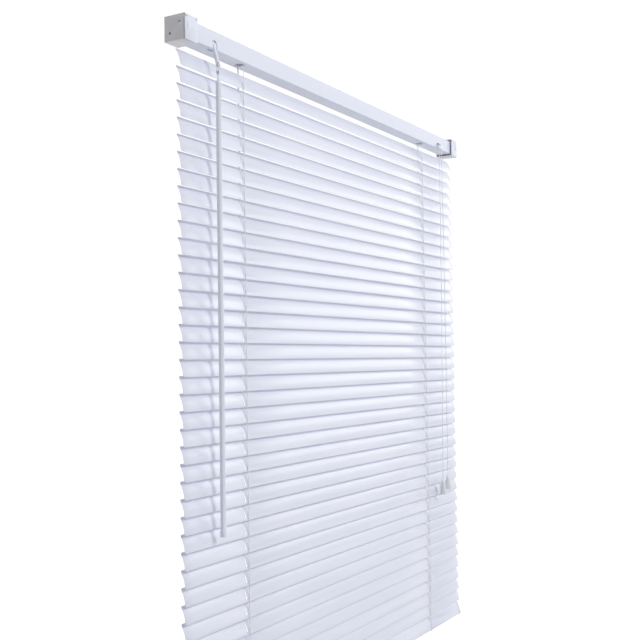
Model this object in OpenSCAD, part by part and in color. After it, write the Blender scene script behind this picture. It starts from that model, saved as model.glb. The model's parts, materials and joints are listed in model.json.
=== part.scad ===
// Corded mini blind with one inch slats, hung from a U shaped headrail in two box brackets.
// Millimetres. +X runs along the headrail, +Y towards the window, +Z up.
// The origin is the middle of the line between the two top screw holes, on the brackets' top face.
// The slats are drawn closed, with their room side edges down.

/* [Slats] */
// Length of a slat
slat_len = 895; // [760:1:1100]
// Width of a slat from edge to edge
slat_w = 25; // [22:0.5:28]
// Thickness of a slat
slat_t = 0.6; // [0.4:0.1:0.9]
// Height of a slat's crown over its edges
slat_crown = 2; // [1:0.1:2.5]
// Radius of a slat's corners
slat_corner = 3; // [1:0.5:5]
// Height from one slat to the next
slat_pitch = 22.5; // [20:0.5:24]
// Number of slats
slat_count = 40; // [4:1:40]
// Slope of the closed slats
closed_angle = 72; // [60:1:76]
// Width of the slot that a lift cord runs through
route_slot_w = 3; // [2:0.1:4]

/* [Headrail] */
// Length of the headrail
rail_len = 902; // [820:1:1150]
// Depth of the headrail from front to back
rail_d = 25.4; // [24:0.1:30]
// Height of the headrail
rail_h = 25.4; // [24:0.1:30]
// Thickness of the headrail's steel
rail_t = 0.8; // [0.5:0.1:1.2]
// Width of the turned-in lips along the headrail's open top
lip_w = 3; // [1:0.5:4]
// Height from the underside of the headrail down to the first slat
first_drop = 23.3; // [22:0.1:50]

/* [Box brackets] */
// Length of a bracket along the headrail
bracket_len = 27; // [20:1:35]
// Height of a bracket
bracket_h = 34; // [33:0.5:40]
// Depth of a bracket from its front to its back
bracket_d = 34; // [32:0.5:42]
// Thickness of a bracket's steel
bracket_t = 1.2; // [0.8:0.1:1.6]
// Height of the ribs that the headrail stands on
seat_h = 3; // [2:0.1:4]
// Diameter of the screw holes
screw_hole_d = 4.2; // [3:0.1:5]
// Half the distance between the end holes, front to back
end_hole_y = 8; // [5:0.5:10]
// Half the height between the end holes
end_hole_z = 6.5; // [4:0.5:9]
// Height between the back holes
back_hole_step = 14; // [10:0.5:18]

/* [Tilter] */
// Distance from the left end of the slats to the tilter
tilter_inset = 63.5; // [45:0.5:90]
// Height of the tilt rod over the underside of the headrail
rod_rise = 13; // [12.5:0.1:14]
// Size of the hexagonal tilt rod across its flats
rod_flats = 5; // [4:0.1:6]
// Slope of the worm's stem away from upright
stem_slope = 16; // [14:0.5:18]
// Radius of the worm's stem
stem_r = 2.8; // [2.8:0.1:3.2]
// Teeth on the tilt gear
gear_teeth = 12; // [12:1:12]
// Mean radius of the tilt gear
gear_r = 5.5; // [5.2:0.1:5.8]
// Distance from the middle of the worm to the eye, along the stem
eye_reach = 39; // [36:0.5:44]
// Length of the wand under its hook
wand_len = 620; // [300:5:800]
// Size of the hexagonal wand across its flats
wand_flats = 7.6; // [6:0.1:8]

/* [Ladders and cords] */
// Distance from the slats' ends to each ladder
ladder_inset = 142.5; // [100:0.5:200]
// Distance from each ladder to its lift cord, along the headrail
cord_shift = 5; // [4:0.5:6]
// Diameter of a ladder string
string_d = 1; // [0.5:0.1:1.2]
// Diameter of a lift cord
lift_cord_d = 1.4; // [0.8:0.1:1.6]
// Diameter of a pull cord
pull_cord_d = 1.4; // [1:0.1:1.5]
// Length of a tassel
tassel_len = 25; // [18:1:35]
// Radius of a tassel's open end
tassel_r = 5.8; // [4:0.1:5.8]

/* [Bottom rail] */
// Thickness of the bottom rail
foot_t = 7; // [5:0.5:8]
// Height from the last slat down to the bottom rail
foot_drop = 28; // [26:0.5:34]

/* [Hidden] */
$fn = 64;
// clearances: between fixed pieces, round a turning shaft, and between moving pieces
fit_gap = 0.2;
run_gap = 0.05;
free_gap = 0.3;
eps = 0.01;

// levels
rail_bottom = -bracket_h + bracket_t + seat_h;
floor_top = rail_bottom + rail_t;
rod_z = rail_bottom + rod_rise;
first_z = rail_bottom - first_drop;
foot_z = first_z - (slat_count - 1) * slat_pitch - foot_drop;

// places along the headrail
bracket_end = rail_len / 2 + 1 + bracket_t;
bracket_mid = bracket_end - bracket_len / 2;
tilter_x = -slat_len / 2 + tilter_inset;
ladder_x = slat_len / 2 - ladder_inset;
lock_x = 370;
rod_end = 17;
mouth_d = 13;

// ladders: the strings circle round each slat's middle and stay this far from it
edge_r = slat_w / 2 + 0.4;
edge_y = edge_r * cos(closed_angle);
edge_z = edge_r * sin(closed_angle);
slat_reach = slat_w / 2 * cos(closed_angle) + slat_t / 2 + 0.05;
string_y = slat_reach + free_gap + string_d / 2;
string_rise = first_drop - edge_z - 2.5;
drum_r = edge_z / (closed_angle * PI / 180);
journal_r = (rod_flats + fit_gap) / 2 / cos(30) + 0.2;

// slat arc
slat_r = (slat_w * slat_w / 4 + slat_crown * slat_crown) / (2 * slat_crown);
slot_half = slat_w / 2 - 3.2;

// tilter: a sine worm against a gear with sine teeth
wave = 0.4;
worm_r = 2.3;
worm_len = 10;
worm_lead = 2 * PI * gear_r / gear_teeth;
worm_gap = worm_r + gear_r + 0.3;
gear_w = 8;
hub_r = 4;
cheek_t = 2;
cheek_x = 6.4;
eye_r = 3.2;
eye_hole_r = 1.9;
eye_t = 2;
wire_r = 0.6;
hook_half = 2.6;
hook_drop = 10;
worm_y = -worm_gap * cos(stem_slope);
worm_z = rod_z + worm_gap * sin(stem_slope);
eye_y = worm_y - eye_reach * sin(stem_slope);
eye_z = worm_z - eye_reach * cos(stem_slope);

// tilter and cord lock cut-outs in the headrail
tilter_cut_w = 13;
tilter_cut_h = 12.4;
lock_cut_w = 24;
lock_cut_h = 11.5;

// gate hinge
hinge_r = 1.5;
hinge_pin_r = 0.75;
hinge_y = -bracket_d / 2 + hinge_r;
hinge_z = -hinge_r;
knuckle_len = 4;
gate_t = 1.2;

// cord lock
lock_len = 30;
lock_h = 17;
lock_wall = 2;
spout_w = 22;
spout_y = -rail_d / 2 - 4.6;
pawl_x = lock_x + 3;
pawl_z = rail_bottom + 14;
pawl_pin_r = 1.2;

// routes of the two pull cords, from inside the cord lock down to their tassels
front_route = [
    [365, -15.4, -23], [365, -15.4, -28], [364.9, -15.5, -34], [364.5, -15.8, -50],
    [363.4, -16.4, -90], [361.9, -16.9, -140], [360, -17.4, -200], [358, -17.8, -260],
    [355.6, -18.1, -330], [353.1, -18.4, -400], [350.6, -18.6, -470], [348.1, -18.8, -540],
    [345.9, -18.9, -600], [344.2, -19, -650], [343, -19, -690]
];
rear_route = [
    [375, -15.4, -23], [375, -15.4, -28], [375, -15.5, -34], [374.9, -15.8, -50],
    [374.6, -16.4, -90], [374.1, -17, -140], [373.4, -17.6, -200], [372.6, -18, -260],
    [371.6, -18.4, -330], [370.6, -18.7, -400], [369.6, -18.9, -470], [368.6, -19.1, -540],
    [367.8, -19.2, -600], [367.3, -19.2, -650], [367, -19.2, -683]
];

function slat_name(i) = str("slat_", i < 10 ? "0" : "", i);

// an outline drawn as (depth, height) becomes a bar along X, centred on x = 0
module bar(length) {
    translate([-length / 2, 0, 0])
        rotate([90, 0, 90])
            linear_extrude(height = length)
                children();
}

// a round shaft along X, centred on x = 0
module shaft(r, length, sides = $fn) {
    rotate([0, 90, 0])
        cylinder(r = r, h = length, center = true, $fn = sides);
}

// a hexagonal shaft along X with flats at the top and bottom
module hex_shaft(flats, length) {
    rotate([0, 90, 0])
        cylinder(r = flats / 2 / cos(30), h = length, center = true, $fn = 6);
}

// places its children with +Z running down the worm's stem and z = 0 beside the gear
module along_stem() {
    translate([tilter_x, worm_y, worm_z])
        rotate([180 - stem_slope, 0, 0])
            children();
}

// a cut-out with an arched top through the headrail's front wall, and on through its floor
module front_cut(x, w, h, depth) {
    r = w / 2;
    translate([x - r, -rail_d / 2 - 1, rail_bottom - 1])
        cube([w, depth + 1, h - r / 2 + 1]);
    translate([x, -rail_d / 2 + rail_t + 0.5, rail_bottom + h - r])
        rotate([90, 0, 0])
            intersection() {
                cylinder(r = r, h = rail_t + 1);
                translate([-r, 0, -1])
                    cube([2 * r, r, rail_t + 3]);
            }
}

module headrail() {
    color([0.93, 0.94, 0.96])
        difference() {
            translate([0, 0, rail_bottom])
                bar(rail_len)
                    union() {
                        translate([-rail_d / 2, 0])
                            square([rail_d, rail_t]);
                        for (s = [-1, 1]) {
                            translate([s * (rail_d - rail_t) / 2 - rail_t / 2, 0])
                                square([rail_t, rail_h]);
                            translate([s * (rail_d - lip_w) / 2 - lip_w / 2, rail_h - rail_t])
                                square([lip_w, rail_t]);
                        }
                    }
            for (s = [-1, 1])
                translate([s * ladder_x - cord_shift - 3, -mouth_d / 2, rail_bottom - 1])
                    cube([cord_shift + 6, mouth_d, rail_t + 2]);
            front_cut(tilter_x, tilter_cut_w, tilter_cut_h, 9);
            front_cut(lock_x, lock_cut_w, lock_cut_h, 8);
        }
}

// the right hand box bracket: closed at its end, top, bottom and back, and open to the front
module bracket() {
    inner = bracket_end - bracket_len;
    difference() {
        union() {
            translate([bracket_end - bracket_t, hinge_y + hinge_r - bracket_t + free_gap, -bracket_h])
                cube([bracket_t, bracket_d / 2 - hinge_y - hinge_r + bracket_t - free_gap, bracket_h]);
            translate([inner, bracket_d / 2 - bracket_t, -bracket_h])
                cube([bracket_len, bracket_t, bracket_h]);
            translate([inner, hinge_y + hinge_r + free_gap, -bracket_t])
                cube([bracket_len, bracket_d / 2 - hinge_y - hinge_r - free_gap, bracket_t]);
            translate([inner, -bracket_d / 2 + 4, -bracket_h])
                cube([bracket_len, bracket_d - 4, bracket_t]);
            // ribs under the headrail
            for (x = [0.25, 0.75])
                translate([inner + x * bracket_len, -rail_d / 2, -bracket_h + bracket_t - eps])
                    cube([2, rail_d, seat_h + eps]);
            // knuckles of the gate's hinge
            for (x = [inner, bracket_end - knuckle_len])
                translate([x, hinge_y, hinge_z]) {
                    rotate([0, 90, 0])
                        cylinder(r = hinge_r, h = knuckle_len);
                    cube([knuckle_len, hinge_r + free_gap + 1, hinge_r]);
                }
        }
        translate([inner - 1, hinge_y, hinge_z])
            rotate([0, 90, 0])
                cylinder(r = hinge_pin_r + run_gap, h = bracket_len + 2);
        translate([bracket_mid, 0, -bracket_t - 1])
            cylinder(d = screw_hole_d, h = bracket_t + 2);
        for (s = [-1, 1]) {
            translate([bracket_mid, bracket_d / 2 + 1, -bracket_h / 2 + s * back_hole_step / 2])
                rotate([90, 0, 0])
                    cylinder(d = screw_hole_d, h = bracket_t + 2);
            translate([bracket_end - bracket_t - 1, -s * end_hole_y, -bracket_h / 2 + s * end_hole_z])
                rotate([0, 90, 0])
                    cylinder(d = screw_hole_d, h = bracket_t + 2);
        }
    }
}

module box_brackets() {
    color([0.9, 0.9, 0.92]) {
        bracket();
        mirror([1, 0, 0])
            bracket();
    }
}

// the right hand gate: a plate that hangs from a hinge along its top and hooks under the bracket
module gate() {
    inner = bracket_end - bracket_len;
    drop = bracket_h - hinge_r;
    plate_y = -bracket_d / 2;
    union() {
        difference() {
            translate([inner, plate_y, -bracket_h])
                cube([bracket_len, gate_t, drop]);
            for (x = [inner - 1, bracket_end - knuckle_len - free_gap])
                translate([x, plate_y - 1, hinge_z - hinge_r - 1])
                    cube([knuckle_len + free_gap + 1, gate_t + 2, hinge_r + 2]);
        }
        // hook along the bottom edge, and the ridge that a finger opens it by
        translate([inner, plate_y, -bracket_h])
            cube([bracket_len - bracket_t - free_gap, 4 - free_gap, gate_t]);
        translate([bracket_end - 7.5, plate_y - 0.6, -19])
            cube([1.6, 0.7, 10]);
        // hinge knuckle and pin
        translate([inner + knuckle_len + free_gap, hinge_y, hinge_z])
            rotate([0, 90, 0])
                cylinder(r = hinge_r, h = bracket_len - 2 * (knuckle_len + free_gap));
        translate([inner + 0.5, hinge_y, hinge_z])
            rotate([0, 90, 0])
                cylinder(r = hinge_pin_r, h = bracket_len - 1);
    }
}

module gate_right() {
    color([0.95, 0.95, 0.97])
        gate();
}

module gate_left() {
    color([0.95, 0.95, 0.97])
        mirror([1, 0, 0])
            gate();
}

module tilt_rod() {
    left = tilter_x - rod_end;
    right = ladder_x + rod_end;
    color([0.6, 0.62, 0.64])
        translate([(left + right) / 2, 0, rod_z])
            hex_shaft(rod_flats, right - left);
}

module ladder_drums() {
    color([0.92, 0.92, 0.9])
        for (s = [-1, 1])
            translate([s * ladder_x, 0, rod_z])
                difference() {
                    union() {
                        translate([4, 0, 0])
                            shaft(drum_r, 12);
                        shaft(journal_r, 24);
                    }
                    hex_shaft(rod_flats + fit_gap, 30);
                }
}

module drum_cradles() {
    base_t = 1.6;
    color([0.92, 0.92, 0.9])
        for (s = [-1, 1])
            translate([s * ladder_x, 0, floor_top])
                difference() {
                    union() {
                        translate([-14, -rail_d / 2 + rail_t + fit_gap, 0])
                            cube([28, rail_d - 2 * (rail_t + fit_gap), base_t]);
                        for (x = [-11.5, 11.5])
                            translate([x - cheek_t / 2, -7, 0])
                                cube([cheek_t, 14, rod_z - floor_top + 5]);
                    }
                    translate([-cord_shift - 3, -mouth_d / 2, -1])
                        cube([cord_shift + 6, mouth_d, base_t + 2]);
                    translate([0, 0, rod_z - floor_top])
                        shaft(journal_r + run_gap, 30);
                }
}

module tilter_housing() {
    wall_h = rod_z - floor_top + 6;
    color([0.92, 0.92, 0.9])
        difference() {
            union() {
                for (s = [-1, 1])
                    translate([tilter_x + s * cheek_x - cheek_t / 2, -rail_d / 2 + rail_t + fit_gap, floor_top])
                        cube([cheek_t, rail_d - 2 * (rail_t + fit_gap), wall_h]);
                translate([tilter_x - cheek_x, -2, floor_top])
                    cube([2 * cheek_x, rail_d / 2 + 2 - rail_t - fit_gap, 2]);
                // collar that the stem turns in
                intersection() {
                    along_stem()
                        translate([0, 0, worm_len / 2 + 1])
                            cylinder(r = cheek_x, h = 9);
                    translate([tilter_x - cheek_x, -rail_d / 2 + rail_t + fit_gap, floor_top])
                        cube([2 * cheek_x, rail_d / 2, rail_h]);
                }
            }
            along_stem()
                translate([0, 0, -2 * worm_len])
                    cylinder(r = stem_r + run_gap, h = 8 * worm_len);
            translate([tilter_x, 0, rod_z]) {
                shaft(hub_r + run_gap, 30);
                shaft(gear_r + wave + free_gap, gear_w + 0.6);
            }
        }
}

// the gear's wave has a hollow facing the worm's crest
module tilt_gear() {
    steps = 8 * gear_teeth;
    facing = 180 - stem_slope;
    outline = [for (k = [0 : steps - 1])
        let (turn = k * 360 / steps, r = gear_r - wave * cos(gear_teeth * turn))
        [r * cos(turn + facing), r * sin(turn + facing)]];
    color([0.85, 0.85, 0.8])
        translate([tilter_x, 0, rod_z])
            difference() {
                union() {
                    bar(gear_w)
                        polygon(outline);
                    shaft(hub_r, 2 * (cheek_x + cheek_t / 2));
                }
                hex_shaft(rod_flats + fit_gap, 40);
            }
}

// one crest of the worm faces the gear beside the gear's hollow
module worm_stem() {
    turns = worm_len / worm_lead;
    stem_len = eye_reach - worm_len / 2 - eye_r;
    color([0.94, 0.94, 0.94])
        along_stem()
            difference() {
                union() {
                    rotate([0, 0, -90 - 180 * turns])
                        translate([0, 0, -worm_len / 2])
                            linear_extrude(height = worm_len, twist = -360 * turns, slices = 36, $fn = 16)
                                translate([wave, 0])
                                    circle(r = worm_r, $fn = 16);
                    translate([0, 0, worm_len / 2 - 0.2])
                        cylinder(r = stem_r, h = stem_len + 0.2);
                    translate([0, 0, eye_reach - eye_r - 1])
                        cylinder(r = 1.3, h = 2);
                    translate([0, 0, eye_reach])
                        shaft(eye_r, eye_t);
                }
                translate([0, 0, eye_reach])
                    shaft(eye_hole_r, eye_t + 2);
            }
}

// a closed loop of wire that passes through the stem's eye and the wand's eye
module wand_hook() {
    color([0.55, 0.56, 0.58])
        translate([tilter_x, eye_y, eye_z])
            union() {
                for (z = [0, -hook_drop])
                    translate([0, 0, z])
                        shaft(wire_r, 2 * hook_half, 32);
                for (x = [-hook_half, hook_half]) {
                    translate([x, 0, -hook_drop])
                        cylinder(r = wire_r, h = hook_drop, $fn = 32);
                    for (z = [0, -hook_drop])
                        translate([x, 0, z])
                            sphere(r = wire_r, $fn = 32);
                }
            }
}

module wand() {
    tab_r = 2.9;
    tab_t = 3;
    neck_len = 10;
    color([0.93, 0.94, 0.95])
        translate([tilter_x, eye_y, eye_z - hook_drop])
            difference() {
                union() {
                    shaft(tab_r, tab_t);
                    translate([0, 0, -neck_len])
                        cylinder(r = 1.4, h = neck_len - tab_r / 2);
                    translate([0, 0, -neck_len - 4])
                        cylinder(r1 = 3.4, r2 = 2, h = 5);
                    translate([0, 0, -wand_len])
                        cylinder(r = wand_flats / 2 / cos(30), h = wand_len - neck_len - 3, $fn = 6);
                }
                shaft(1.5, tab_t + 2);
            }
}

module cord_lock() {
    depth = rail_d - 2 * (rail_t + fit_gap);
    color([0.92, 0.92, 0.9])
        difference() {
            union() {
                difference() {
                    translate([lock_x - lock_len / 2, -depth / 2, floor_top])
                        cube([lock_len, depth, lock_h]);
                    translate([lock_x - lock_len / 2 - 1, -depth / 2 + lock_wall, floor_top + lock_wall])
                        cube([lock_len + 2, depth - 2 * lock_wall, lock_h]);
                }
                // spout that leads the cords out of the headrail's front
                translate([lock_x - spout_w / 2, spout_y, rail_bottom])
                    cube([spout_w, -spout_y - depth / 2 + lock_wall, lock_cut_h - lock_cut_w / 4 - fit_gap]);
            }
            for (x = [front_route[0][0], rear_route[0][0]])
                translate([x, front_route[0][1], rail_bottom - 1])
                    cylinder(r = pull_cord_d / 2 + 0.3, h = lock_cut_h + 3, $fn = 32);
            translate([pawl_x, 0, pawl_z])
                rotate([90, 0, 0])
                    cylinder(r = pawl_pin_r + run_gap, h = rail_d, center = true);
        }
}

// serrated cam that grips the cords, on two stub pins
module lock_pawl() {
    width = rail_d - 2 * (rail_t + fit_gap + lock_wall + free_gap);
    color([0.75, 0.76, 0.78])
        translate([pawl_x, 0, pawl_z])
            rotate([90, 0, 0])
                union() {
                    cylinder(r = 2.6, h = width, center = true);
                    cylinder(r = pawl_pin_r, h = width + 2 * (lock_wall + free_gap) - 0.4, center = true);
                    translate([-3, -3.4, -width / 2])
                        cube([4, 4, width]);
                    for (k = [0 : 3])
                        translate([-3, -3 + k, 0])
                            rotate([0, 0, 45])
                                cube([0.7, 0.7, width], center = true);
                }
}

// sweeps a many sided tube along a route
module cord(route, d, sides = 8) {
    last = len(route) - 1;
    ways = [for (k = [0 : last])
        let (a = route[max(k - 1, 0)], b = route[min(k + 1, last)]) (b - a) / norm(b - a)];
    rings = [for (k = [0 : last])
        let (w = ways[k],
             u0 = [1, 0, 0] - (w * [1, 0, 0]) * w,
             u = u0 / norm(u0),
             v = cross(w, u))
        for (m = [0 : sides - 1])
            route[k] + d / 2 * (cos(m * 360 / sides) * u + sin(m * 360 / sides) * v)];
    sides_faces = [for (k = [0 : last - 1]) for (m = [0 : sides - 1])
        let (n = (m + 1) % sides)
        [k * sides + m, k * sides + n, (k + 1) * sides + n, (k + 1) * sides + m]];
    start = [for (m = [sides - 1 : -1 : 0]) m];
    end = [for (m = [0 : sides - 1]) last * sides + m];
    polyhedron(points = rings, faces = [for (f = concat([start, end], sides_faces))
        [for (m = [len(f) - 1 : -1 : 0]) f[m]]], convexity = 4);
}

module pull_cords() {
    color([0.96, 0.96, 0.95]) {
        cord(front_route, pull_cord_d);
        cord(rear_route, pull_cord_d);
    }
}

// a bell with its mouth down, hung by its top at the end of a cord
module tassel(route) {
    wall = 1;
    steps = 8;
    outside = [for (k = [0 : steps])
        [2.2 + (tassel_r - 2.2) * sin(k * 90 / steps), -k * tassel_len / steps]];
    inside = [for (k = [steps : -1 : 2])
        [1.2 + (tassel_r - wall - 1.2) * sin(k * 90 / steps), -k * tassel_len / steps]];
    translate(route[len(route) - 1])
        rotate_extrude()
            polygon(concat([[0, 0]], outside, inside, [[0, -2 * tassel_len / steps]]));
}

module tassels() {
    color([0.93, 0.92, 0.9]) {
        tassel(front_route);
        tassel(rear_route);
    }
}

// the bottom rail's section has round edges; at each ladder it is cut back to clear the strings
module bottom_rail() {
    clear_y = slat_reach;
    color([0.93, 0.94, 0.96])
        translate([0, 0, foot_z])
            rotate([closed_angle, 0, 0])
                difference() {
                    bar(slat_len)
                        union() {
                            square([slat_w - foot_t, foot_t], center = true);
                            for (s = [-1, 1])
                                translate([s * (slat_w - foot_t) / 2, 0])
                                    circle(d = foot_t);
                        }
                    for (x = [-ladder_x, ladder_x], t = [-closed_angle, closed_angle], s = [-1, 1])
                        rotate([t, 0, 0])
                            translate([x, s * (clear_y + slat_w), 0])
                                cube([string_d + 4 * free_gap, 2 * slat_w, 4 * slat_w], center = true);
                }
}

module lift_cords() {
    low = foot_z + slat_w / 2 + 0.4;
    high = floor_top + 2;
    color([0.96, 0.96, 0.95])
        for (s = [-1, 1])
            translate([s * ladder_x - cord_shift, 0, low])
                cylinder(d = lift_cord_d, h = high - low, $fn = 24);
}

// one side's strings: s = -1 is the room side, s = 1 the window side
module ladder_strings(s) {
    low = foot_z + s * edge_z - 1;
    high = first_z + s * edge_z + string_rise;
    color([0.97, 0.97, 0.97])
        for (x = [-ladder_x, ladder_x])
            translate([x, s * string_y, low])
                cylinder(d = string_d, h = high - low, $fn = 24);
}

// a crowned strip with rounded corners and a slot for each lift cord, sloped as when closed
module slat(i) {
    color([0.95, 0.95, 0.97])
        translate([0, 0, first_z - (i - 1) * slat_pitch])
            rotate([closed_angle, 0, 0])
                difference() {
                    intersection() {
                        bar(slat_len)
                            difference() {
                                translate([0, slat_crown - slat_r])
                                    circle(r = slat_r + slat_t / 2, $fn = 180);
                                translate([0, slat_crown - slat_r])
                                    circle(r = slat_r - slat_t / 2, $fn = 180);
                            }
                        translate([0, 0, -2])
                            linear_extrude(height = slat_crown + 4)
                                rounded_strip();
                    }
                    for (s = [-1, 1])
                        translate([s * ladder_x - cord_shift, 0, -2])
                            linear_extrude(height = slat_crown + 4)
                                route_slot();
                }
}

module rounded_strip() {
    square([slat_len - 2 * slat_corner, slat_w], center = true);
    square([slat_len, slat_w - 2 * slat_corner], center = true);
    for (x = [-1, 1], y = [-1, 1])
        translate([x * (slat_len / 2 - slat_corner), y * (slat_w / 2 - slat_corner)])
            circle(r = slat_corner, $fn = 32);
}

module route_slot() {
    square([route_slot_w, 2 * slot_half - route_slot_w], center = true);
    for (y = [-1, 1])
        translate([0, y * (slot_half - route_slot_w / 2)])
            circle(d = route_slot_w, $fn = 32);
}

headrail();
box_brackets();
gate_left();
gate_right();
tilt_rod();
ladder_drums();
tilt_gear();
drum_cradles();
tilter_housing();
worm_stem();
wand_hook();
wand();
cord_lock();
lock_pawl();
pull_cords();
tassels();
bottom_rail();
lift_cords();
ladder_strings(-1);  // front_ladder_strings
ladder_strings(1);  // rear_ladder_strings
for (i = [1 : slat_count])
    slat(i);
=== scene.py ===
# %% [markdown]
# # A corded mini blind
# This lesson dresses the design model of a one inch mini blind. The design fixes every size,
# joint and hole, so it is loaded first and never moved. Everything that follows is either a
# finish for one of its parts, or a finer piece that stands in for one.

# %% Load the design
import json
import math
import random

import bpy
from mathutils import Matrix, Vector


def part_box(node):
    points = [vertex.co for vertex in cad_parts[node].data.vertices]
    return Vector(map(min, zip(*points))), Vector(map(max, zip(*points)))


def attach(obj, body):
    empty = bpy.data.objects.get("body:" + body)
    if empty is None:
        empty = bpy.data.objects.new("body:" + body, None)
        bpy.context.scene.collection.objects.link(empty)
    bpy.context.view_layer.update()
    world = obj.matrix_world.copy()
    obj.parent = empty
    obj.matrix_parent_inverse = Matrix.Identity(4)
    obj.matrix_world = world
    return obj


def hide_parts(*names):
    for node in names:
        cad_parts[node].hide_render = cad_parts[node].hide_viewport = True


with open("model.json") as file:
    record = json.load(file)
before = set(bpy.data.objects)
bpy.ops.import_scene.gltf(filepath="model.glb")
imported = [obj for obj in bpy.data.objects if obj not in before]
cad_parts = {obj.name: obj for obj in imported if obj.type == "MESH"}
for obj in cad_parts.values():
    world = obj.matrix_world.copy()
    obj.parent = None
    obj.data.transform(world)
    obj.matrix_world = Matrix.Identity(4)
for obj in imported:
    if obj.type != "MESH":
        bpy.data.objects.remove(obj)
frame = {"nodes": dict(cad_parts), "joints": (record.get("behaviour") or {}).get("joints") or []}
bpy.context.view_layer.update()
mm = 0.001
random.seed(7)
joints = {j["name"]: j for j in frame["joints"]}

# %% [markdown]
# ## The camera
# A blind is best seen from one end and a little below its headrail, where the slats turn into
# long converging lines. The camera's three directions are worked out from a heading, a tilt and
# a slight roll, because a matrix made from them can't drift the way that a tracked target can.

# %% Place the camera
heading, tilt, roll = (math.radians(a) for a in (59.7, 2.4, -0.89))
stand = (-1.4534, -0.7959, -0.4526)
lens_mm, film_mm = 55.63, 36
ahead = Vector((math.sin(heading) * math.cos(tilt), math.cos(heading) * math.cos(tilt), math.sin(tilt)))
level = Vector((math.cos(heading), -math.sin(heading), 0))
upright = level.cross(ahead)
right = math.cos(roll) * level + math.sin(roll) * upright
up = math.cos(roll) * upright - math.sin(roll) * level
bpy.ops.object.camera_add()
camera = bpy.context.object
camera.name = "viewpoint"
camera.data.lens = lens_mm
camera.data.sensor_width = film_mm
turn = Matrix((right, up, -ahead)).transposed().to_4x4()
camera.matrix_world = Matrix.Translation(stand) @ turn
bpy.context.scene.camera = camera
print("camera looks along", [round(v, 3) for v in ahead])

# %% [markdown]
# ## Shader maths as plain expressions
# A finish is mostly arithmetic on textures. This class wraps one socket, so that an expression
# such as 1 - dirt * 0.2 adds the Math nodes by itself. Every other node comes from one method,
# which takes the node's type, its settings and what its sockets get.

# %% Wrap a socket
class Flow:
    """One value that flows through a material's nodes."""

    def __init__(self, tree, socket=None):
        self.tree, self.socket = tree, socket

    def node(self, kind, settings=None, feeds=None, output=0):
        """Makes a node: its settings come first, then the values or links of its sockets."""
        made = self.tree.nodes.new("ShaderNode" + kind)
        for name, value in (settings or {}).items():
            if name == "stops":
                while len(made.color_ramp.elements) < len(value):
                    made.color_ramp.elements.new(0.5)
                for stop, (place, colour) in zip(made.color_ramp.elements, value):
                    stop.position, stop.color = place, (*colour, 1)
            else:
                setattr(made, name, value)
        for name, value in (feeds or {}).items():
            if isinstance(value, Flow):
                self.tree.links.new(value.socket, made.inputs[name])
            else:
                made.inputs[name].default_value = value
        return Flow(self.tree, made.outputs[output])

    def maths(self, operation, *values):
        """A Math node on flows and numbers."""
        return self.node("Math", {"operation": operation}, dict(enumerate(values)))

    def __add__(self, other):
        return self.maths("ADD", self, other)

    __radd__ = __add__

    def __sub__(self, other):
        return self.maths("SUBTRACT", self, other)

    def __rsub__(self, other):
        return self.maths("SUBTRACT", other, self)

    def __mul__(self, other):
        return self.maths("MULTIPLY", self, other)

    __rmul__ = __mul__


print("flow ready")

# %% [markdown]
# ## Blank materials
# Each finish starts from an empty principled material. Settings that are the same all over go on
# the shader's own sockets, and only what changes from spot to spot is plugged in as a flow.

# %% Make and plug a material
def blank(name, **constants):
    """A new material, its principled shader, and a Flow to start its nodes from."""
    material = bpy.data.materials.new(name)
    material.use_nodes = True
    shader = material.node_tree.nodes["Principled BSDF"]
    for socket, value in constants.items():
        shader.inputs[socket.replace("_", " ")].default_value = value
    return material, shader, Flow(material.node_tree)


def plug(shader, **feeds):
    """Links flows to the shader's own sockets."""
    for socket, flow in feeds.items():
        flow.tree.links.new(flow.socket, shader.inputs[socket.replace("_", " ")])


print("material helpers ready")

# %% [markdown]
# ## Finishes
# A white blind is many whites. Baked enamel on steel is smooth with a faint orange peel. The
# slats have a satin coat, drawn out in long streaks by the rollers that shaped them. Moulded
# nylon is a duller white. The wand is a harder and glossier plastic. Each whiteness is a mix of
# two near colours by a noise, so no surface is one flat number.

# %% Noise in the piece's own space
def noise(flow, stretch, size, detail=2.0, roughness=0.5):
    """Noise on object coordinates, stretched by a mapping, from about 0.2 to 0.8."""
    place = flow.node("TexCoord", output="Object")
    mapped = flow.node("Mapping", None, {"Vector": place, "Scale": stretch})
    feeds = {"Vector": mapped, "Scale": size, "Detail": detail, "Roughness": roughness}
    return flow.node("TexNoise", None, feeds)


def between(flow, share, first, second, ends=(0.25, 0.75)):
    """A colour that goes from first to second as share goes from one end to the other."""
    return flow.node("ValToRGB", {"stops": list(zip(ends, (first, second)))}, {"Fac": share})


def bumped(flow, height, strength, distance=0.0002):
    """A normal that is tilted by a height, where a height of 1 stands distance metres proud."""
    return flow.node("Bump", None, {"Height": height, "Strength": strength, "Distance": distance})


print("noise helpers ready")

# %% [markdown]
# ## White coats
# The six whites share one recipe: slow patches change the tone and the gloss a little, and a
# fine peel breaks up the reflections. What sets them apart is how rough they are, and which way
# their patches are drawn out.

# %% Enamel, satin coat, nylon and plastic
patches_a_metre, dimples_a_metre = 14, 900


def coated(name, first, second, rough, peel, stretch, gloss=0.0):
    """A white coat: slow patches of tone, and a fine peel in the bump."""
    material, shader, flow = blank(name, Coat_Roughness=0.12, Specular_IOR_Level=0.5)
    patches = noise(flow, stretch, patches_a_metre, 3)
    fine = noise(flow, (1, 1, 1), dimples_a_metre)
    plug(shader, Base_Color=between(flow, patches, first, second),
         Roughness=rough - 0.05 + 0.14 * patches,
         Normal=bumped(flow, fine * 0.7 + patches * 0.3, peel))
    shader.inputs["Coat Weight"].default_value = gloss
    return material


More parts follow.
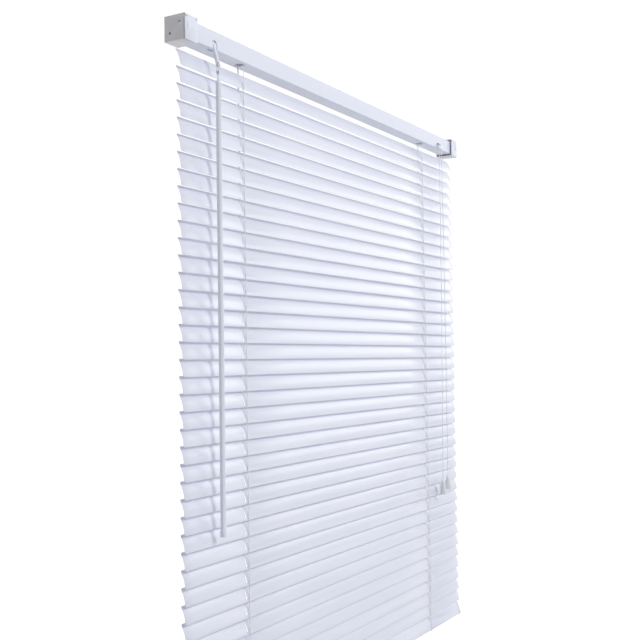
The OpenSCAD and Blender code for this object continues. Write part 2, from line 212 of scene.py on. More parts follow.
enamel = coated("white enamel", (0.75, 0.79, 0.89), (0.81, 0.84, 0.93),
                rough=0.55, peel=0.18, stretch=(0.5, 3, 3), gloss=0.03)
# The brackets are the same enamelled steel as the gates; their warm grey is matched to their end face in
# shade, so the warmth is a painted shade tint.
bracket_enamel_shade_tint = coated("bracket enamel", (0.74, 0.72, 0.74), (0.82, 0.80, 0.81),
                        rough=0.42, peel=0.25, stretch=(3, 3, 3), gloss=0.1)
satin = coated("satin slat coat", (0.75, 0.77, 0.88), (0.82, 0.835, 0.93),
               rough=0.32, peel=0.1, stretch=(0.35, 6, 6), gloss=0.25)
nylon = coated("moulded nylon", (0.80, 0.82, 0.89), (0.88, 0.90, 0.96),
               rough=0.5, peel=0.3, stretch=(6, 6, 6))
wand_plastic = coated("wand plastic", (0.82, 0.84, 0.92), (0.89, 0.91, 0.98),
                      rough=0.22, peel=0.15, stretch=(8, 8, 0.6), gloss=0.5)
tassel_plastic = coated("tassel plastic", (0.78, 0.79, 0.80), (0.86, 0.87, 0.88),
                        rough=0.38, peel=0.2, stretch=(9, 9, 9), gloss=0.2)
print("six white finishes")

# %% [markdown]
# ## Metal
# The tilt rod, the hook and the lock's cam are zinc plated steel: a grey with a faint blue and
# straw mottle, and long drawing lines that scatter the gloss.

# %% Zinc plate
def zinc_plate():
    """Bare metal with a mottle in its colour and drawn lines in its gloss."""
    material, shader, flow = blank("zinc plate", Metallic=1.0)
    mottle = noise(flow, (1, 1, 1), 160, 4, 0.6)
    drawn = noise(flow, (2, 60, 60), 20)
    plug(shader, Base_Color=between(flow, mottle, (0.42, 0.43, 0.46), (0.66, 0.64, 0.60)),
         Roughness=0.22 + 0.3 * drawn,
         Normal=bumped(flow, drawn, 0.2))
    return material


zinc = zinc_plate()
print("zinc plate ready")

# %% [markdown]
# ## Braid
# Cords and ladder strings are braided polyester. Two families of strands cross at a slant, and
# the higher of the two shows. The pattern follows each tube's own map: U goes once round, and V
# is the distance along in metres, so the strands keep their size whatever the cord's length.

# %% Braided polyester
def braid(name, strands, pitch):
    """Strands that cross each other: strands round the cord, and pitch metres between them."""
    material, shader, flow = blank(name, Roughness=0.8, Sheen_Weight=0.25, Sheen_Roughness=0.4)
    parts = flow.node("SeparateXYZ", None, {"Vector": flow.node("TexCoord", output="UV")})
    around, along = parts, Flow(flow.tree, parts.socket.node.outputs["Y"])
    slant = around * (2 * math.pi * strands)
    climb = along * (2 * math.pi / pitch)
    first, second = flow.maths("SINE", slant + climb), flow.maths("SINE", slant - climb)
    high = flow.maths("MAXIMUM", first, second) * 0.5 + 0.5
    plug(shader, Base_Color=between(flow, high, (0.84, 0.86, 0.93), (0.96, 0.97, 1.0)),
         Roughness=0.86 - 0.16 * high, Normal=bumped(flow, high, 0.5, 0.0001))
    return material


cord_braid = braid("cord braid", 4, 0.0016)
string_braid = braid("string braid", 2, 0.0011)
print("two braids ready")

# %% [markdown]
# ## Tubes for cords
# A cord is a tube swept along a smooth curve through a few points. A Catmull-Rom curve is used,
# because it passes through every point that it is given.

# %% Smooth a route
def smooth_route(points, steps):
    """Points on a smooth curve through the given ones."""
    route = []
    for i in range(len(points) - 1):
        before, a = points[max(i - 1, 0)], points[i]
        b, after = points[i + 1], points[min(i + 2, len(points) - 1)]
        for k in range(steps):
            t = k / steps
            route.append(0.5 * (2 * a + (b - before) * t + (2 * before - 5 * a + 4 * b - after) * t ** 2
                                + (3 * a - before - 3 * b + after) * t ** 3))
    return route + [points[-1]]


print("route helper ready")

# %% [markdown]
# ## Sweeping
# A ring is set square to the curve at each step, and each ring is joined to the one before. The
# map that the braid needs is written at the same time. Every ring takes its first direction from
# the last one, so the strands don't twist.

# %% Sweep a tube
def tube_mesh(name, routes, radius, sides=8):
    """One mesh of closed-ended tubes along the routes, with its map."""
    corners, faces, spots = [], [], []
    for route in routes:
        base, run = len(corners), 0.0
        side = None
        for k, point in enumerate(route):
            way = (route[min(k + 1, len(route) - 1)] - route[max(k - 1, 0)]).normalized()
            guide = side or (Vector((0, 0, 1)) if abs(way.z) < 0.9 else Vector((1, 0, 0)))
            side = (guide - guide.dot(way) * way).normalized()
            other = way.cross(side)
            run += (point - route[k - 1]).length if k else 0.0
            for m in range(sides):
                a = 2 * math.pi * m / sides
                corners.append(point + radius * (math.cos(a) * side + math.sin(a) * other))
            if k:
                step = (point - route[k - 1]).length
                for m in range(sides):
                    n, low, high = (m + 1) % sides, base + (k - 1) * sides, base + k * sides
                    faces.append((low + m, low + n, high + n, high + m))
                    u, w = m / sides, (m + 1) / sides
                    spots += [(u, run - step), (w, run - step), (w, run), (u, run)]
        last = base + (len(route) - 1) * sides
        for ring, order in ((base, reversed(range(sides))), (last, range(sides))):
            faces.append(tuple(ring + m for m in order))
            spots += [(m / sides, 0.0) for m in range(sides)]
    mesh = bpy.data.meshes.new(name)
    mesh.from_pydata(corners, [], faces)
    layer = mesh.uv_layers.new(name="braid_map")
    for loop, spot in zip(layer.data, spots):
        loop.uv = spot
    mesh.polygons.foreach_set("use_smooth", [True] * len(mesh.polygons))
    return mesh


def tube(name, routes, radius, material, body, sides=8):
    """A swept piece, in place on its body."""
    piece = bpy.data.objects.new(name, tube_mesh(name, routes, radius, sides))
    bpy.context.scene.collection.objects.link(piece)
    piece.data.materials.append(material)
    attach(piece, body)
    return piece


print("tube helper ready")

# %% [markdown]
# ## The pull cords
# Two cords leave the cord lock side by side and hang down the room side of the blind, drifting
# apart as they fall. Each one ends in its own tassel. Their routes are the design's.

# %% Pull cords
cord_radius = 0.7
front_points = [(365, -15.4, -23), (365, -15.4, -28), (364.9, -15.5, -34), (364.5, -15.8, -50),
                (363.4, -16.4, -90), (361.9, -16.9, -140), (360, -17.4, -200), (358, -17.8, -260),
                (355.6, -18.1, -330), (353.1, -18.4, -400), (350.6, -18.6, -470), (348.1, -18.8, -540),
                (345.9, -18.9, -600), (344.2, -19, -650), (343, -19, -690)]
rear_points = [(375, -15.4, -23), (375, -15.4, -28), (375, -15.5, -34), (374.9, -15.8, -50),
               (374.6, -16.4, -90), (374.1, -17, -140), (373.4, -17.6, -200), (372.6, -18, -260),
               (371.6, -18.4, -330), (370.6, -18.7, -400), (369.6, -18.9, -470), (368.6, -19.1, -540),
               (367.8, -19.2, -600), (367.3, -19.2, -650), (367, -19.2, -683)]


def length_of(route):
    """The length along a route, in metres."""
    return sum((b - a).length for a, b in zip(route, route[1:]))


pull_cords = []
for name, points in (("front", front_points), ("rear", rear_points)):
    route = smooth_route([Vector(p) * mm for p in points], 6)
    piece = tube(f"pull_cord_{name}_braid", [route], cord_radius * mm, cord_braid,
                 "pull_cords", 10)
    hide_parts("pull_cords")
    pull_cords.append((piece, route))
    print(piece.name, "is", round(length_of(route), 4), "m long")

# %% [markdown]
# ## Modelling helpers
# The rest is modelled by hand, with operators. An operator acts on all that is selected, so
# every piece starts from an empty selection, and faces or edges are picked by where they are.

# %% Start and pick
def start(name):
    """Names the primitive that was just added and opens it for editing, with nothing selected."""
    piece = bpy.context.object
    piece.name = piece.data.name = name
    bpy.ops.object.transform_apply(location=True, rotation=True, scale=True)
    bpy.context.tool_settings.mesh_select_mode = (True, False, False)
    bpy.ops.object.mode_set(mode="EDIT")
    bpy.ops.mesh.select_all(action="DESELECT")
    return piece


def pick(piece, what, test):
    """Selects the faces, edges or vertices whose middle passes a test, and says how many."""
    bpy.ops.object.mode_set(mode="OBJECT")
    mesh = piece.data
    for part in (*mesh.polygons, *mesh.edges, *mesh.vertices):
        part.select = False
    chosen = 0
    for part in getattr(mesh, what):
        if what == "edges":
            a, b = (mesh.vertices[i].co for i in part.vertices)
            good = test((a + b) / 2, (b - a).normalized())
        elif what == "polygons":
            good = test(part.center, part.normal)
        else:
            good = test(part.co)
        part.select = good
        chosen += good
    kinds = ("vertices", "edges", "polygons")
    bpy.context.tool_settings.mesh_select_mode = [kind == what for kind in kinds]
    bpy.ops.object.mode_set(mode="EDIT")
    return chosen


print("start and pick ready")

# %% [markdown]
# ## Modifiers and finishing
# A modifier is applied as soon as it is set, so that the mesh is what it looks like. A finished
# piece is smoothed up to an angle, gets its material, and is put on the body that it moves with.

# %% Modify and finish
def alone(piece):
    """Makes a piece the only selected object."""
    if bpy.context.object and bpy.context.object.mode != "OBJECT":
        bpy.ops.object.mode_set(mode="OBJECT")
    bpy.ops.object.select_all(action="DESELECT")
    piece.select_set(True)
    bpy.context.view_layer.objects.active = piece


def modify(piece, kind, **settings):
    """Adds a modifier and applies it."""
    alone(piece)
    made = piece.modifiers.new(kind.lower(), kind)
    for name, value in settings.items():
        setattr(made, name, value)
    bpy.ops.object.modifier_apply(modifier=made.name)
    return piece


def finish(piece, material, body, slot, *nodes, angle=35):
    """Smooths a piece, gives it its finish, and puts it on its body."""
    alone(piece)
    bpy.ops.object.shade_smooth_by_angle(angle=math.radians(angle))
    piece.data.materials.clear()
    piece.data.materials.append(material)
    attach(piece, body)
    if nodes:
        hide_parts(*nodes)
    return piece


print("modify and finish ready")

# %% [markdown]
# ## Turned shapes and moves
# Bells, knots, collars and caps are round, so each is drawn out from one ring. A piece is then
# moved by its mesh, and its object stays at the origin, where the finishes measure from.

# %% Turn and place
def turned(name, profile, sides=32, loop=False):
    """Extrudes and resizes a ring along (radius, height) pairs, in millimetres."""
    bpy.ops.object.select_all(action="DESELECT")
    first, height = profile[0]
    bpy.ops.mesh.primitive_circle_add(vertices=sides, radius=first * mm, location=(0, 0, height * mm))
    piece = start(name)
    bpy.ops.mesh.select_all(action="SELECT")
    for (r0, z0), (r1, z1) in zip(profile, profile[1:]):
        bpy.ops.mesh.extrude_region_move(TRANSFORM_OT_translate={"value": (0, 0, (z1 - z0) * mm)})
        bpy.ops.transform.resize(value=(r1 / r0, r1 / r0, 1), center_override=(0, 0, z1 * mm))
    if not loop:
        bpy.ops.mesh.edge_face_add()
        pick(piece, "vertices", lambda co: abs(co.z - height * mm) < 1e-6)
        bpy.ops.mesh.edge_face_add()
    bpy.ops.mesh.select_all(action="SELECT")
    bpy.ops.mesh.remove_doubles(threshold=1e-6)
    bpy.ops.mesh.normals_make_consistent(inside=False)
    bpy.ops.object.mode_set(mode="OBJECT")
    return piece


def place(piece, *steps):
    """Moves the mesh itself, so that the object stays at the origin."""
    for step in steps:
        piece.data.transform(step)
    piece.data.update()
    return piece


def shift(x, y, z):
    """A move in millimetres."""
    return Matrix.Translation((x * mm, y * mm, z * mm))


def spin(degrees, axis):
    """A turn about an axis through the origin."""
    return Matrix.Rotation(math.radians(degrees), 4, axis)


print("turned shapes ready")

# %% [markdown]
# ## Tassels
# A tassel is a small moulded bell that hides the knot at a cord's end. It is turned from a ring:
# up the outside from the mouth, over the shoulder and neck, and down the inside to a floor where
# the knot sits. A bead line near the mouth catches the light.

# %% Turn the tassels
bell = [(4.9, -25), (5.5, -25.1), (5.9, -24.6), (5.9, -23.6), (5.7, -23.2), (5.85, -22.8), (5.8, -20),
        (5.6, -16), (5.3, -12), (4.8, -8), (4.1, -4.6), (3.3, -2.4), (2.7, -1.2), (2.4, -0.4), (1.9, 0),
        (0.75, 0), (0.75, -2.6), (1.9, -3.2), (3.0, -5.5), (3.8, -9), (4.4, -14), (4.8, -20), (4.9, -25)]
knot_shape = [(0.7, -3.1), (1.5, -3.6), (1.75, -4.5), (1.5, -5.5), (0.8, -6), (0.7, -7.5)]
for (cord, route), name in zip(pull_cords, ("front", "rear")):
    tip = route[-1] / mm
    tassel = turned(f"tassel_{name}_bell", bell, 40, loop=True)
    place(tassel, shift(*tip))
    finish(tassel, tassel_plastic, "pull_cords", "white_nylon", "tassels")
    knot = turned(f"knot_{name}", knot_shape, 12)
    finish(place(knot, shift(*tip)), cord_braid, "pull_cords", "white_cord")
    tuple(route[0])
    length_of(route)
    print(tassel.name, "hangs at", [round(v) for v in tip])

# %% [markdown]
# ## Slats
# A slat is a strip of thin metal, crowned across its width so that it stays straight along its
# length. One is made flat, with rounded corners and a slot for each lift cord, then every row of
# points is lifted on to the crown, and the strip is thickened and its edges eased.

# %% Model one slat
slat_long, slat_wide, crown, strip_thick = 895, 25, 2.0, 0.5
cord_places = (-310, 300)
slot_half, slot_end = 1.2, 9.3
bpy.ops.object.select_all(action="DESELECT")
bpy.ops.mesh.primitive_plane_add(size=1, location=(0, 0, 0))
slat = bpy.context.object
slat.scale = (slat_long * mm, slat_wide * mm, 1)
slat = start("slat_pattern")
bpy.ops.mesh.select_all(action="SELECT")
bpy.ops.mesh.bevel(offset=3 * mm, segments=5, affect="VERTICES")
rows = [-slot_end, -7.9, -5, -2.5, 0, 2.5, 5, 7.9, slot_end, -11.4, 11.4]
for y in rows:
    bpy.ops.mesh.select_all(action="SELECT")
    bpy.ops.mesh.bisect(plane_co=(0, y * mm, 0), plane_no=(0, 1, 0))
slot_sides = [c + d for c in cord_places for d in (-slot_half, slot_half)]
columns = slot_sides + [-430, -200, -100, 0, 100, 200, 430]
for x in columns:
    bpy.ops.mesh.select_all(action="SELECT")
    bpy.ops.mesh.bisect(plane_co=(x * mm, 0, 0), plane_no=(1, 0, 0))
slots = pick(slat, "polygons", lambda c, n: abs(c.y) < slot_end * mm
             and min(abs(c.x - x * mm) for x in cord_places) < slot_half * mm)
bpy.ops.mesh.delete(type="FACE")
bpy.ops.object.mode_set(mode="OBJECT")
for vertex in slat.data.vertices:
    vertex.co.z = crown * mm * (1 - (vertex.co.y / (slat_wide / 2 * mm)) ** 2)
modify(slat, "SOLIDIFY", thickness=strip_thick * mm, offset=0)
modify(slat, "BEVEL", width=0.12 * mm, segments=2, limit_method="ANGLE",
       angle_limit=math.radians(50))
print("slat pattern:", slots, "slot faces,", len(slat.data.polygons), "faces")

# %% [markdown]
# ## Hang the slats
# The pattern is copied for each slat, each copy with its own mesh. A slat hangs closed, with its
# room side edge down. No two slats settle quite alike on their strings, so each copy leans by a
# small share of a degree more or less than the design says. The top few stay a little more
# open, and the first of them most.

# %% Copy it down the blind
lean_spread, top_lean = 0.4, 3
slat_count = sum(name.startswith("slat_") for name in joints)
first_slat = joints["slat_01_tilt"]["pos_m"][2] / mm
slat_pitch = first_slat - joints["slat_02_tilt"]["pos_m"][2] / mm
slat_slope = joints["slat_01_tilt"]["range_deg"][1] / 2
for i in range(slat_count):
    alone(slat)
    bpy.ops.object.duplicate()
    copy = bpy.context.object
    number = f"{i + 1:02d}"
    copy.name = copy.data.name = f"slat_{number}_strip"
    lean = random.uniform(-lean_spread, lean_spread) - top_lean * math.exp(-i)
    place(copy, spin(slat_slope + lean, "X"), shift(0, 0, first_slat - i * slat_pitch))
    finish(copy, satin, f"slat_{number}", "white_vinyl", f"slat_{number}", angle=30)
bpy.data.objects.remove(slat)
print(slat_count, "slats hung")

# %% [markdown]
# ## Ladders
# A ladder is two strings with pairs of rungs between them, and each slat lies on a pair of
# rungs. The strings move with the tilt, so they are pieces of their own. Their upper ends stay
# inside the headrail, where they are tied to the drums. A taut string needs no bends, so its
# route is a row of equal steps.

# %% Strings
ladder_places = (-305, 305)
string_radius, top_radius = 0.58, 0.46
drum_end = -26
string_y = -sum(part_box("front_ladder_strings")[k].y for k in (0, 1)) / 2 / mm
string_rise = joints["rear_strings_shift"]["pos_m"][2] / mm - first_slat
string_tops = [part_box(f"{side}_ladder_strings")[1].z / mm for side in ("front", "rear")]
last_foot = joints["bottom_rail_tilt"]["pos_m"][2] / mm


def taut_routes(places, y, first, last, count):
    """A straight upright route in equal steps at each place along the blind."""
    heights = [first + (last - first) * k / count for k in range(count + 1)]
    return [[Vector((x, y, z)) * mm for z in heights] for x in places]


for name, side, top in zip(("front", "rear"), (-1, 1), string_tops):
    low = last_foot + side * string_rise - 1
    routes = taut_routes(ladder_places, side * string_y, low, top, 60)
    strings = tube(f"{name}_ladder_strings_braid", routes, string_radius * mm, string_braid,
                   f"{name}_strings")
    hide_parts(f"{name}_ladder_strings")
    routes = taut_routes(ladder_places, side * string_y, drum_end, string_tops[0] - 3, 6)
    tube(f"{name}_ladder_tops", routes, top_radius * mm, string_braid, "frame")
print("ladder strings ready")

# %% [markdown]
# ## Rungs
# Two thin rungs lie under each slat at each ladder, one on either side of the strings. They turn
# with the slat, so each set is modelled flat, tilted like the slat and put on the slat's body.

# %% Rungs
rung_radius, rung_apart, rung_sink = 0.25, 0.9, 0.55
half = slat_wide / 2 - 0.2
across = [-half - 0.3, -half * 0.8, -half * 0.4, 0, half * 0.4, half * 0.8, half + 0.3]
starts = [x + away for x in ladder_places for away in (-rung_apart, rung_apart)]
for i in range(slat_count):
    routes = [[Vector((x, y, -rung_sink)) * mm for y in across] for x in starts]
    number = f"{i + 1:02d}"
    rungs = tube(f"rungs_{number}", routes, rung_radius * mm, string_braid,
                 f"slat_{number}", 5)
    place(rungs, shift(0, 0, first_slat - i * slat_pitch) @ spin(slat_slope, "X"))
print(slat_count * len(starts), "rungs")

# %% [markdown]
# ## Lift cords
# A cord runs down through the slots to the bottom rail at each ladder. Inside the headrail it
# bends over, and goes along to the cord lock, where it comes out as a pull cord.

# %% Lift cords
cord_low, cord_high = last_foot + 12.9, -27
run_end, run_height = 362, -24.6
routes = taut_routes(cord_places, 0, cord_low, cord_high, 80)
lift = tube("lift_cords_braid", routes, cord_radius * mm, cord_braid, "lift_cords")
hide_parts("lift_cords")
inner_runs = []
for x, y in zip(cord_places, (5.5, -9.5)):
    points = [(x, 0, cord_high), (x + 1, 0, -26), (x + 4, y * 0.3, -25), (x + 18, y * 0.8, run_height)]
    points += [(x + 30 + (run_end - x - 40) * k / 6, y, run_height + 0.4 * math.sin(k)) for k in range(7)]
    inner_runs.append(smooth_route([Vector(p) * mm for p in points], 4))
tube("lift_cord_runs", inner_runs, cord_radius * mm, cord_braid, "frame", 6)
print("lift cords ready")

# %% [markdown]
# ## Headrail
# The headrail is one strip of steel, folded by rollers into an open box. It is modelled the same
# way: a box loses its ends and its top, the free edges are folded in as lips, all four folds are
# rounded, and the sheet gets its thickness.

# %% Fold the headrail
low_end, high_end = ([round(v / mm, 2) for v in corner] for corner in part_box("headrail"))
rail_long, rail_deep, rail_high = (round(b - a, 2) for a, b in zip(low_end, high_end))
rail_low = low_end[2]
sheet, lip, fold_round = 0.8, 3, 1.1
bpy.ops.object.select_all(action="DESELECT")
bpy.ops.mesh.primitive_cube_add(size=1, location=(0, 0, (rail_low + rail_high / 2) * mm))
bpy.context.object.scale = (rail_long * mm, rail_deep * mm, rail_high * mm)
headrail = start("headrail_folded")
pick(headrail, "polygons", lambda c, n: abs(n.x) > 0.9 or n.z > 0.9)
bpy.ops.mesh.delete(type="ONLY_FACE")
for side in (-1, 1):
    pick(headrail, "edges", lambda m, d: abs(d.x) > 0.9 and m.z > (rail_low + rail_high - 1) * mm
         and m.y * side > 12 * mm)
    bpy.ops.mesh.extrude_region_move(TRANSFORM_OT_translate={"value": (0, -side * lip * mm, 0)})
folds = pick(headrail, "edges", lambda m, d: abs(d.x) > 0.9 and abs(m.y) > 12 * mm)
bpy.ops.mesh.bevel(offset=fold_round * mm, segments=4, affect="EDGES")
bpy.ops.mesh.select_all(action="SELECT")
bpy.ops.mesh.normals_make_consistent(inside=False)
modify(headrail, "SOLIDIFY", thickness=sheet * mm, offset=-1)
print("headrail with", folds, "folds")

# %% [markdown]
# ## Openings
# The stem and the cord lock come out through arched openings at the foot of the room side wall,
# and the ladders through slots in the floor. Blocks of those shapes are modelled and subtracted.

# %% Cut the openings
def cutter(name, x, wide, high, y, deep, arch):
    """A block whose two upper edges along Y are rounded by arch, to cut an opening with."""
    bpy.ops.object.select_all(action="DESELECT")
    middle = rail_low - 1 + (high + 1) / 2
    bpy.ops.mesh.primitive_cube_add(size=1, location=(x * mm, y * mm, middle * mm))
    bpy.context.object.scale = (wide * mm, deep * mm, (high + 1) * mm)
    piece = start(name)
    if arch:
        top = (rail_low + high) * mm
        pick(piece, "edges", lambda m, d: abs(d.y) > 0.9 and abs(m.z - top) < 1e-5)
        bpy.ops.mesh.bevel(offset=arch * mm, segments=8, affect="EDGES")
    bpy.ops.object.mode_set(mode="OBJECT")
    return piece


stem_x, lock_x = -384, 370
openings = [cutter("cut_stem", stem_x, 13, 12.4, -12.5, 3, 6.2),
            cutter("cut_stem_floor", stem_x, 13, 2, -8.7, 10, 0),
            cutter("cut_lock", lock_x, 24, 11.5, -12.5, 3, 9),
            cutter("cut_lock_floor", lock_x, 24, 2, -9.2, 9, 0)]
openings += [cutter(f"cut_ladder_{k}", x - 2.5, 11, 2, 0, 13, 0) for k, x in enumerate(ladder_places)]
for opening in openings:
    modify(headrail, "BOOLEAN", operation="DIFFERENCE", solver="EXACT", object=opening)
    bpy.data.objects.remove(opening)
finish(headrail, enamel, "frame", "white_steel", "headrail", angle=30)
print(len(openings), "openings cut")

# %% [markdown]
# ## Softened copies
# The brackets and the workings are already the right shape in the design, but their edges are
# razor sharp. A copy of each is merged, its flat facets are joined, and its hard edges are
# rounded a little, the way that pressed steel and moulded nylon come out of their tools. The cord
# lock also gets the mouth above its spout, through which its cam can be seen.

# %% Soften a design part
def softened(node, name, width, material, body, slot, segments=2, cut=None):
    """A copy of a design part with its edges rounded by width, and perhaps an opening cut first."""
    source = frame["nodes"][node]
    piece = bpy.data.objects.new(name, source.data.copy())
    bpy.context.scene.collection.objects.link(piece)
    alone(piece)
    bpy.ops.object.mode_set(mode="EDIT")
    bpy.ops.mesh.select_all(action="SELECT")
    bpy.ops.mesh.remove_doubles(threshold=2e-6)
    bpy.ops.mesh.dissolve_limited(angle_limit=math.radians(1))
    if cut:
        modify(piece, "BOOLEAN", operation="DIFFERENCE", solver="EXACT", object=cut)
        bpy.data.objects.remove(cut)
    modify(piece, "BEVEL", width=width * mm, segments=segments, limit_method="ANGLE",
           angle_limit=math.radians(40), use_clamp_overlap=True)
    finish(piece, material, body, slot, node)
    print(name, "has", len(piece.data.polygons), "faces")


# The brackets get the finish with the painted shade tint.
softened("box_brackets", "box_brackets_pressed", 0.35, bracket_enamel_shade_tint, "frame", "white_steel")
softened("gate_left", "gate_left_pressed", 0.35, enamel, "gate_left", "white_steel")
softened("gate_right", "gate_right_pressed", 0.35, enamel, "gate_right", "white_steel")
softened("tilter_housing", "tilter_housing_moulded", 0.25, nylon, "frame", "white_nylon")
softened("drum_cradles", "drum_cradles_moulded", 0.3, nylon, "frame", "white_nylon")
softened("ladder_drums", "ladder_drums_moulded", 0.3, nylon, "tilt_rod", "white_nylon")
softened("tilt_gear", "tilt_gear_moulded", 0.15, nylon, "tilt_rod", "white_nylon", 1)
softened("tilt_rod", "tilt_rod_drawn", 0.3, zinc, "tilt_rod", "grey_steel")
mouth = place(cutter("cut_mouth", lock_x, 20, 4.8, -10.7, 3, 3.5), shift(0, 0, 6.5))
softened("cord_lock", "cord_lock_moulded", 0.3, nylon, "frame", "white_nylon", cut=mouth)
softened("lock_pawl", "lock_pawl_cast", 0.12, zinc, "pawl", "grey_steel", 1)
softened("bottom_rail", "bottom_rail_extruded", 0.2, satin, "bottom_rail", "white_vinyl")

# %% [markdown]
# ## Tilter stem
# The worm's stem comes out of the headrail at a slant and ends in a flat eye. It is a softened
# copy too, with finer edges than its housing, because its thread is small.

# %% Stem
softened("worm_stem", "worm_stem_moulded", 0.12, nylon, "worm", "white_nylon", 1)

# %% [markdown]
# ## Hook
# A short loop of zinc plated wire joins the stem's eye to the wand's eye. Bent wire has round
# corners, so it is swept round a rounded rectangle rather than joined from straight rods.

# %% Bend the hook
eye, neck = (Vector([round(v / mm, 2) for v in joints[name]["pos_m"]])
             for name in ("wand_turn", "wand_swing"))
drop = round(eye.z - neck.z, 2)
half_wide, wire_radius, bend = 2.6, 0.6, 0.8
loop = [(-half_wide + bend, 0), (0, 0), (half_wide - bend, 0), (half_wide, -bend), (half_wide, -drop / 2),
        (half_wide, -drop + bend), (half_wide - bend, -drop), (0, -drop), (-half_wide + bend, -drop),
        (-half_wide, -drop + bend), (-half_wide, -drop / 2), (-half_wide, -1.0)]
route = smooth_route([(eye + Vector((x, 0, z))) * mm for x, z in loop], 5)
hook = tube("wand_hook_wire", [route], wire_radius * mm, zinc, "hook", 12)
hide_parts("wand_hook")
print("hook wire is", round(length_of(route) / mm, 1), "mm long")

# %% [markdown]
# ## Wand
# The wand is a long hexagonal rod of hard plastic, with a coned collar and a thin neck that
# carries its eye. A circle of six points is extruded up the rod. Its long faces are inset as one
# band and sunk a little, which leaves a rim at either end, and then its edges are eased.

# %% Extrude the wand
neck_z = eye.z - drop
flats, wand_long = 7.6, 620
rod_top, rod_low = neck_z - 13.5, neck_z - wand_long
corner = flats / 2 / math.cos(math.radians(30))
rod_shape = [(corner * 0.8, rod_low), (corner, rod_low + 1.2), (corner, rod_low + 205),
             (corner, rod_low + 410), (corner, rod_top - 1), (corner * 0.92, rod_top)]
wand = turned("wand_rod", rod_shape, 6)
alone(wand)
bpy.ops.object.mode_set(mode="EDIT")
long_faces = pick(wand, "polygons", lambda c, n: abs(n.z) < 0.1)
bpy.ops.mesh.inset(thickness=0.9 * mm, depth=-0.22 * mm, use_individual=False, use_boundary=True)
modify(wand, "BEVEL", width=0.3 * mm, segments=2, limit_method="ANGLE", angle_limit=math.radians(30))
finish(place(wand, shift(eye.x, eye.y, 0)), wand_plastic, "wand", "wand_plastic", "wand", angle=25)
print("wand with", long_faces, "long faces")

# %% [markdown]
# ## Wand ends
# The collar, the end cap and the eye are round where the rod has six sides, so each is turned
# as a piece of its own. The eye is turned upright, then laid on its side across the hook.

# %% Turn the wand's ends
collar_shape = [(3.9, neck_z - 15.5), (3.95, neck_z - 13.8), (3.4, neck_z - 12.4), (2.4, neck_z - 10),
                (1.7, neck_z - 9), (1.4, neck_z - 8), (1.4, neck_z - 2.4)]
cap_shape = [(3.2, rod_low + 8), (4.35, rod_low + 7.6), (4.45, rod_low + 1.4), (4.1, rod_low + 0.3),
             (3.2, rod_low + 0.05)]
for name, shape in (("wand_collar", collar_shape), ("wand_end_cap", cap_shape)):
    end = turned(name, shape, 24)
    finish(place(end, shift(eye.x, eye.y, 0)), wand_plastic, "wand", "wand_plastic")
ring_shape = [(1.45, -1.3), (2.7, -1.3), (2.9, -1.0), (2.9, 1.0), (2.7, 1.3), (1.45, 1.3), (1.45, -1.3)]
ring = turned("wand_eye", ring_shape, 28, loop=True)
place(ring, spin(90, "Y"), shift(eye.x, eye.y, neck_z))
finish(ring, wand_plastic, "wand", "wand_plastic")
print("wand collar, end cap and eye ready")

# %% [markdown]
# ## Bottom rail fittings
# The bottom rail's open ends are closed by moulded caps, and a round button under each ladder
# traps the strings and the lift cord's knot in the rail.

# %% End caps and buttons
foot_turn = spin(slat_slope, "X")
cap_middle, cap_size, cap_round = 446.6, (4.4, 25.6, 7.6), 3.7
for side, name in ((-1, "left"), (1, "right")):
    bpy.ops.object.select_all(action="DESELECT")
    bpy.ops.mesh.primitive_cube_add(size=1, location=(side * cap_middle * mm, 0, 0))
    bpy.context.object.scale = [size * mm for size in cap_size]
    end_cap = start(f"rail_cap_{name}")
    pick(end_cap, "edges", lambda m, d: abs(d.x) > 0.9)
    bpy.ops.mesh.bevel(offset=cap_round * mm, segments=6, affect="EDGES")
    pick(end_cap, "polygons", lambda c, n: n.x * side > 0.9)
    bpy.ops.mesh.inset(thickness=0.8 * mm)
    bpy.ops.mesh.extrude_region_move(TRANSFORM_OT_translate={"value": (side * 0.8 * mm, 0, 0)})
    bpy.ops.transform.resize(value=(1, 0.9, 0.8), center_override=(side * 449 * mm, 0, 0))
    modify(end_cap, "BEVEL", width=0.25 * mm, segments=2, limit_method="ANGLE",
           angle_limit=math.radians(35))
    finish(place(end_cap, foot_turn, shift(0, 0, last_foot)), nylon, "bottom_rail", "white_nylon")
button_shape = [(4.2, -3.2), (4.6, -3.6), (4.6, -4.3), (4.1, -4.9), (2.2, -5.2)]
for x, name in zip(ladder_places, ("left", "right")):
    button = turned(f"ladder_button_{name}", button_shape, 28)
    place(button, shift(x, 0, 0), foot_turn, shift(0, 0, last_foot))
    finish(button, nylon, "bottom_rail", "white_nylon")
print("bottom rail fitted")

# %% [markdown]
# ## Studio
# A white object needs light that falls off across it, or its edges vanish. A pale floor lies
# well below the blind. Its far side, where it meets the white surroundings, is lightest, and
# there it also glows by emission, a painted light from a floor that is no lamp. It is darker on
# the near side, so that less light comes back up under the headrail. Both the floor and the
# surroundings change along one level direction, which is worked out by a dot product.

# %% Floor
far_way = (0.863, 0.504, 0)


def reach(flow, spot):
    """How far a spot or a direction goes the far way."""
    feeds = {0: spot, 1: far_way}
    return flow.node("VectorMath", {"operation": "DOT_PRODUCT"}, feeds, output="Value")


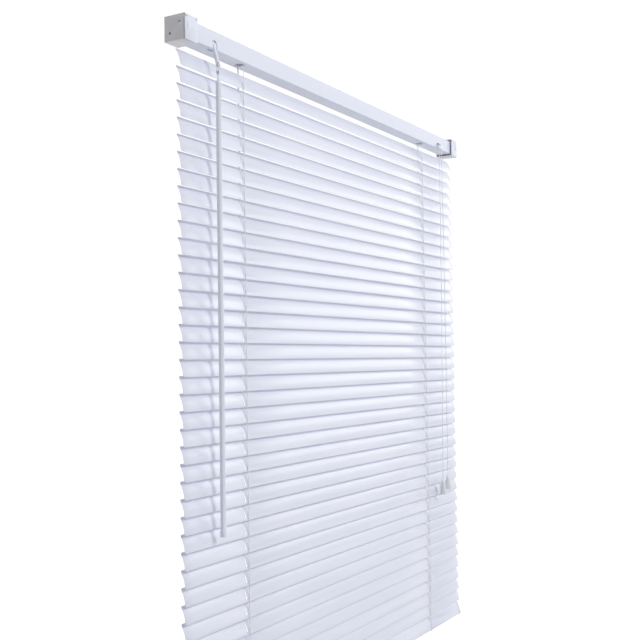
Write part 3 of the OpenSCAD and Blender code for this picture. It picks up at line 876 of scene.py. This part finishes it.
bpy.ops.object.select_all(action="DESELECT")
bpy.ops.mesh.primitive_plane_add(size=60, location=(0, 0, -1.7))
floor = bpy.context.object
floor.name = "floor"
pale, shader, flow = blank("pale floor", Roughness=0.9, Emission_Strength=1.0)
grain = noise(flow, (1, 1, 1), 3, 2)
share = reach(flow, flow.node("TexCoord", output="Object")) * 0.7 - 0.6
# Painted light: the floor's far side glows by emission, though the floor is no lamp.
painted_glow = between(flow, share, (0.0, 0.0, 0.0), (0.5, 0.5, 0.5), (0, 1))
shade = between(flow, share, (0.54, 0.54, 0.56), (0.87, 0.87, 0.88), (0, 1))
plug(shader, Base_Color=shade, Emission_Color=painted_glow, Roughness=0.86 + 0.08 * grain)
floor.data.materials.append(pale)
print("floor laid")

# %% [markdown]
# ## Lights
# One large soft lamp in front shades every end face, and throws the wand's shadow on the slats.
# A wide, flat one on the far right is mirrored in each slat's crown as a soft bright band along
# its length. The surroundings fill the rest.

# %% Lights
middle = (0, 0, -0.45)


def lamp(name, spot, wide, high, watts):
    """A rectangular lamp that faces the blind's middle."""
    bpy.ops.object.light_add(type="AREA", location=spot)
    light = bpy.context.object
    light.name = name
    light.data.shape, light.data.size, light.data.size_y = "RECTANGLE", wide, high
    light.data.energy = watts
    light.rotation_euler = (Vector(middle) - Vector(spot)).to_track_quat("-Z", "Y").to_euler()


lamp("key", (-0.3, -3.0, 1.2), wide=1.0, high=1.0, watts=39)
lamp("sheen", (2.6, -1.5, 0.4), wide=2.4, high=0.8, watts=10)
world = bpy.data.worlds.new("studio")
bpy.context.scene.world = world
world.use_nodes = True
sky = world.node_tree.nodes["Background"]
sky.inputs["Strength"].default_value = 1.06
flow = Flow(world.node_tree)
facing = reach(flow, flow.node("TexCoord", output="Generated"))
greys = [(0.04, 0.27), (0.25, 0.56), (0.6, 0.72), (0.86, 1.0)]
stops = [(spot, (0.97 * g, 0.98 * g, g) if g < 1 else (1, 1, 1)) for spot, g in greys]
plug(sky, Color=flow.node("ValToRGB", {"stops": stops}, {"Fac": facing * 0.5 + 0.5}))
bpy.context.scene.view_settings.view_transform = "Standard"
print("studio lit")
